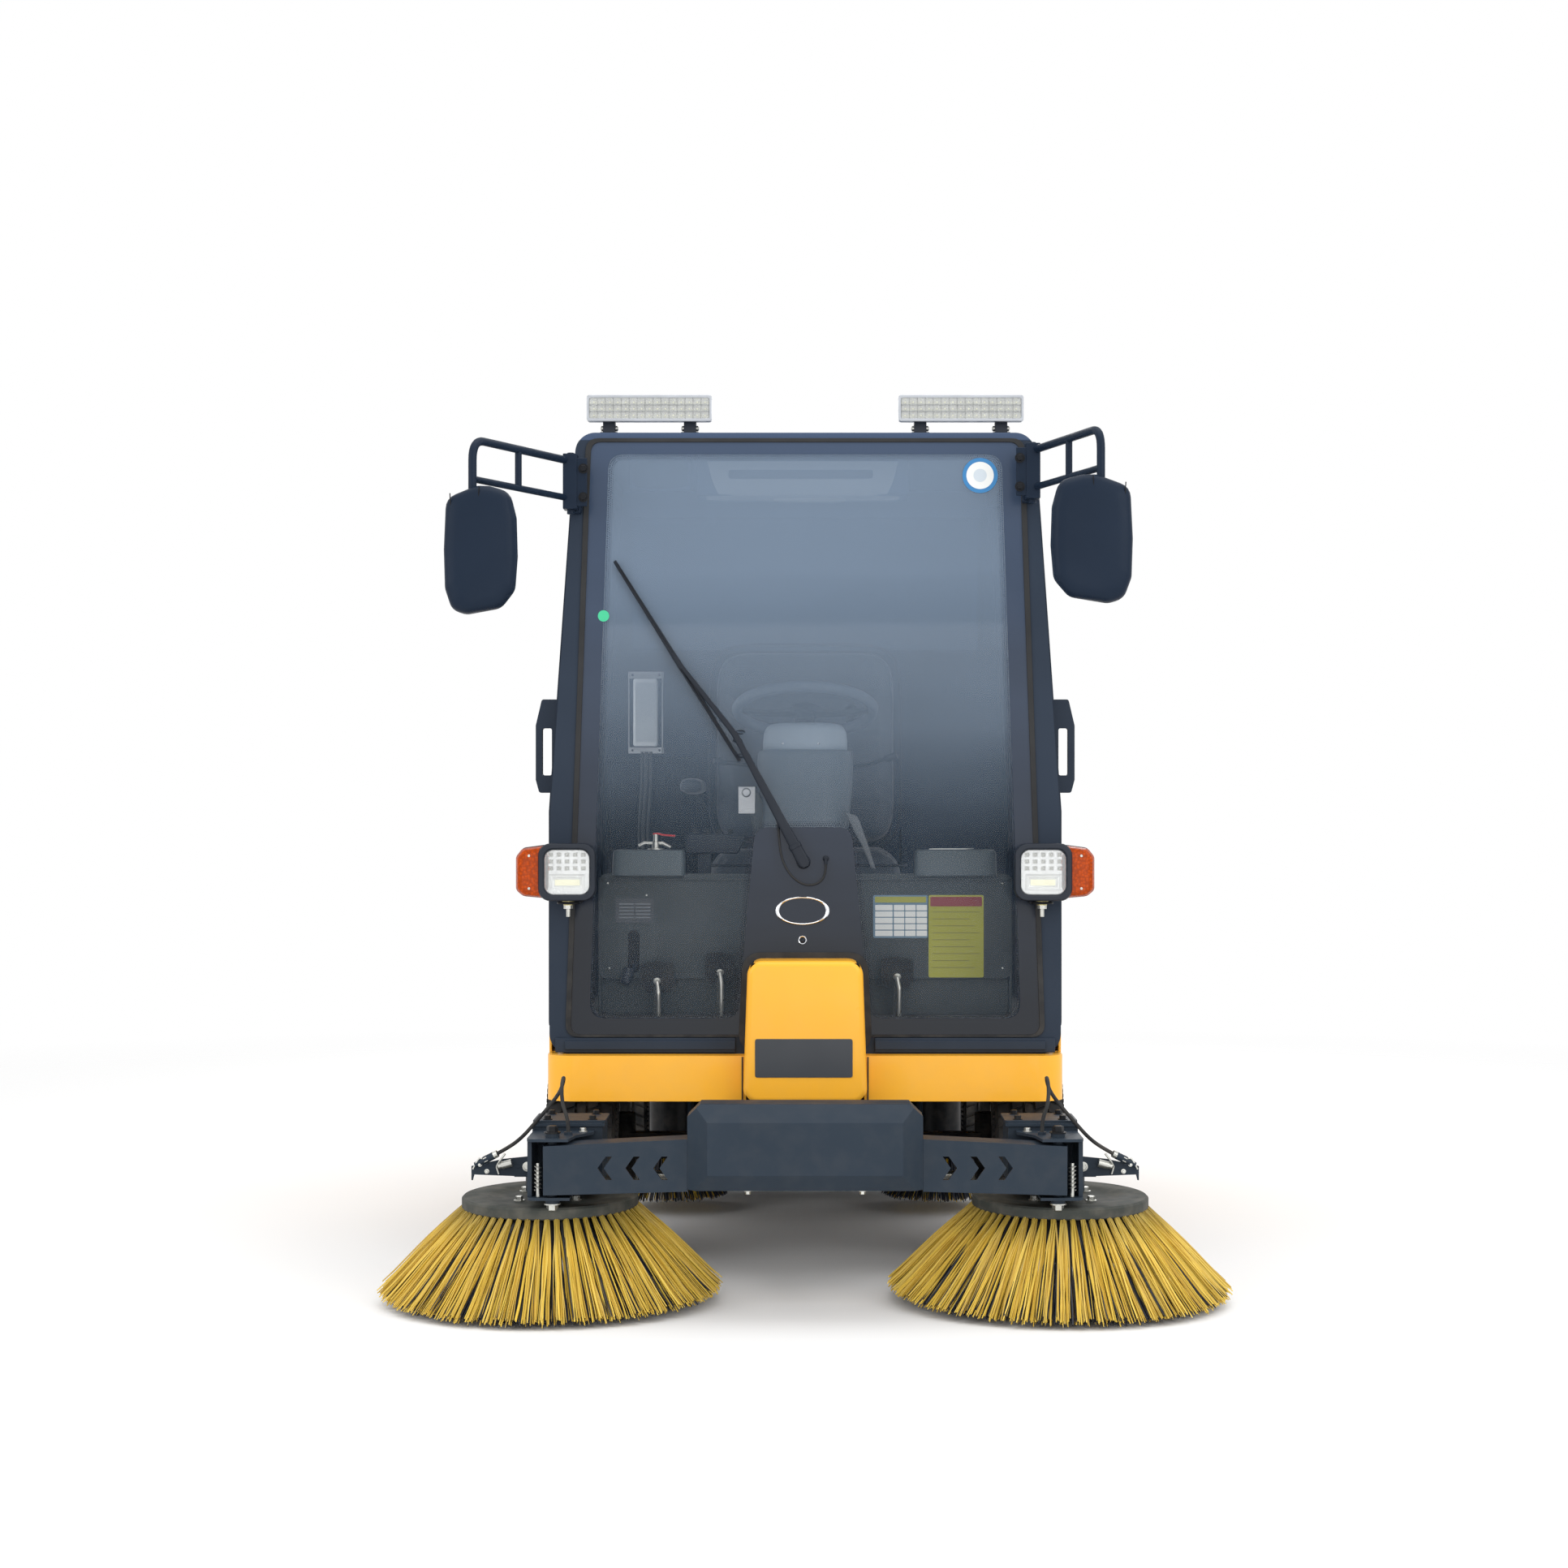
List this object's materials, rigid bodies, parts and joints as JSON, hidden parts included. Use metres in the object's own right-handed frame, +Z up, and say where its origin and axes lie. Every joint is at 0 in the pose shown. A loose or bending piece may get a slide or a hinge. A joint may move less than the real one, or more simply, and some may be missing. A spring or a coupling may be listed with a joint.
{
  "type": "compact road sweeper",
  "caption": "Compact four-wheel road sweeper with a glazed cab, disc brushes on front arms, a belly roller and a rear dirt hopper.",
  "frame": {"origin": "on the ground under the middle of the vehicle's length and width", "axes": "+X to the vehicle's left, +Y to its rear, +Z up; the front faces -Y"},
  "size_m": [1.8284, 2.5303, 1.9909],
  "materials": {
    "body_yellow": "gloss",
    "slate": "satin",
    "black_steel": "satin",
    "glass": "clear",
    "lamp": "clear",
    "tyre": "matte",
    "rim": "satin",
    "black_plastic": "grained",
    "seat_cover": "grained",
    "steel": "brushed",
    "bristle": "fibrous",
    "hose": "smooth",
    "hopper_grey": "satin"
  },
  "bodies": {
    "carrier": {"chassis_frame": "black_steel", "front_axle": "black_steel", "rear_axle": "black_steel", "cab_frame": "slate", "roof": "slate", "cab_glass": "glass", "cab_floor": "black_plastic", "nose": "body_yellow", "side_skirts": "body_yellow", "console": "black_plastic", "seat_base": "black_steel", "seat": "seat_cover", "wiper": "black_plastic", "headlamps": "lamp", "roof_lamps": "lamp", "mirrors": "black_plastic", "rear_body": "body_yellow", "hopper": "hopper_grey", "battery_pack": "black_plastic", "rear_bumper": "slate", "tail_lamps": "lamp", "roller_hood": "slate", "mid_motors": "black_steel", "washer_hose": "hose"},
    "door_left_body": {"door_left": "slate", "door_glass_left": "glass"},
    "door_right_body": {"door_right": "slate", "door_glass_right": "glass"},
    "tail_door_body": {"tail_door": "body_yellow"},
    "steering_wheel_body": {"steering_wheel": "black_plastic"},
    "knuckle_left_body": {"knuckle_left": "black_steel"},
    "knuckle_right_body": {"knuckle_right": "black_steel"},
    "tie_rod_body": {"tie_rod": "steel"},
    "front_beam_body": {"front_beam": "slate", "brush_arms": "slate"},
    "swing_left_body": {"swing_left": "slate", "spray_hose_left": "hose"},
    "swing_right_body": {"swing_right": "slate", "spray_hose_right": "hose"},
    "side_brush_left_body": {"side_brush_left": "bristle"},
    "side_brush_right_body": {"side_brush_right": "bristle"},
    "mid_brush_left_body": {"mid_brush_left": "bristle"},
    "mid_brush_right_body": {"mid_brush_right": "bristle"},
    "roller_body": {"roller_brush": "bristle"},
    "lift_cylinder_body": {"lift_cylinder": "steel"},
    "lift_rod_body": {"lift_rod": "steel"},
    "wheel_front_left_body": {"tyre_front_left": "tyre", "rim_front_left": "rim"},
    "wheel_front_right_body": {"tyre_front_right": "tyre", "rim_front_right": "rim"},
    "wheel_rear_left_body": {"tyre_rear_left": "tyre", "rim_rear_left": "rim"},
    "wheel_rear_right_body": {"tyre_rear_right": "tyre", "rim_rear_right": "rim"}
  },
  "joints": [
    {"name": "steer_left", "type": "hinge", "parent": "carrier", "child": "knuckle_left_body", "pos_m": [0.43, -0.27, 0.255], "axis": [0, 0, 1], "range_deg": [-28, 28]},
    {"name": "steer_right", "type": "hinge", "parent": "carrier", "child": "knuckle_right_body", "pos_m": [-0.43, -0.27, 0.255], "axis": [0, 0, 1], "range_deg": [-28, 28]},
    {"name": "steering_wheel_turn", "type": "hinge", "parent": "carrier", "child": "steering_wheel_body", "pos_m": [0, -0.07, 1.293], "axis": [0, 0.309, 0.9511], "range_deg": [-392, 392]},
    {"name": "tie_rod_slide", "type": "slide", "parent": "carrier", "child": "tie_rod_body", "axis": [1, 0, 0], "range_m": [-0.06, 0.06]},
    {"name": "spin_front_left", "type": "hinge", "parent": "knuckle_left_body", "child": "wheel_front_left_body", "pos_m": [0.512, -0.27, 0.255], "axis": [1, 0, 0], "continuous": true},
    {"name": "spin_front_right", "type": "hinge", "parent": "knuckle_right_body", "child": "wheel_front_right_body", "pos_m": [-0.512, -0.27, 0.255], "axis": [1, 0, 0], "continuous": true},
    {"name": "spin_rear_left", "type": "hinge", "parent": "carrier", "child": "wheel_rear_left_body", "pos_m": [0.512, 0.98, 0.255], "axis": [1, 0, 0], "continuous": true},
    {"name": "spin_rear_right", "type": "hinge", "parent": "carrier", "child": "wheel_rear_right_body", "pos_m": [-0.512, 0.98, 0.255], "axis": [1, 0, 0], "continuous": true},
    {"name": "door_left_hinge", "type": "hinge", "parent": "carrier", "child": "door_left_body", "pos_m": [0.592, 0.404, 0.8], "axis": [0, 0, 1], "range_deg": [0, 80]},
    {"name": "door_right_hinge", "type": "hinge", "parent": "carrier", "child": "door_right_body", "pos_m": [-0.592, 0.404, 0.8], "axis": [0, 0, -1], "range_deg": [0, 80]},
    {"name": "tail_door_hinge", "type": "hinge", "parent": "carrier", "child": "tail_door_body", "pos_m": [0, 1.239, 1.398], "axis": [1, 0, 0], "range_deg": [0, 80]},
    {"name": "beam_lift", "type": "hinge", "parent": "carrier", "child": "front_beam_body", "pos_m": [0, -0.47, 0.32], "axis": [-1, 0, 0], "range_deg": [0, 8]},
    {"name": "cylinder_tilt", "type": "hinge", "parent": "carrier", "child": "lift_cylinder_body", "pos_m": [0, -0.545, 0.245], "axis": [-1, 0, 0], "range_deg": [0, 12]},
    {"name": "rod_slide", "type": "slide", "parent": "lift_cylinder_body", "child": "lift_rod_body", "axis": [0, -0.9955, 0.0948], "range_m": [0, 0.02]},
    {"name": "swing_left_hinge", "type": "hinge", "parent": "front_beam_body", "child": "swing_left_body", "pos_m": [0.524, -1.085, 0.31], "axis": [0, 0, 1], "range_deg": [0, 15]},
    {"name": "swing_right_hinge", "type": "hinge", "parent": "front_beam_body", "child": "swing_right_body", "pos_m": [-0.524, -1.085, 0.31], "axis": [0, 0, -1], "range_deg": [0, 15]},
    {"name": "side_brush_left_spin", "type": "hinge", "parent": "swing_left_body", "child": "side_brush_left_body", "pos_m": [0.545, -0.905, 0.228], "axis": [0.0087, -0.0262, 0.9996], "continuous": true},
    {"name": "side_brush_right_spin", "type": "hinge", "parent": "swing_right_body", "child": "side_brush_right_body", "pos_m": [-0.545, -0.905, 0.228], "axis": [-0.0087, -0.0262, 0.9996], "continuous": true},
    {"name": "mid_brush_left_spin", "type": "hinge", "parent": "carrier", "child": "mid_brush_left_body", "pos_m": [0.36, 0.448, 0.18], "axis": [0, 0, 1], "continuous": true},
    {"name": "mid_brush_right_spin", "type": "hinge", "parent": "carrier", "child": "mid_brush_right_body", "pos_m": [-0.36, 0.448, 0.18], "axis": [0, 0, 1], "continuous": true},
    {"name": "roller_spin", "type": "hinge", "parent": "carrier", "child": "roller_body", "pos_m": [0, 0.755, 0.125], "axis": [1, 0, 0], "continuous": true}
  ],
  "couplings": [
    {"joint": "steer_right", "follows": "steer_left", "ratio": 1},
    {"joint": "steering_wheel_turn", "follows": "steer_left", "ratio": 14},
    {"joint": "tie_rod_slide", "follows": "steer_left", "m_per_rad": -0.115},
    {"joint": "cylinder_tilt", "follows": "beam_lift", "ratio": 1.1876},
    {"joint": "rod_slide", "follows": "beam_lift", "m_per_rad": 0.087023}
  ]
}
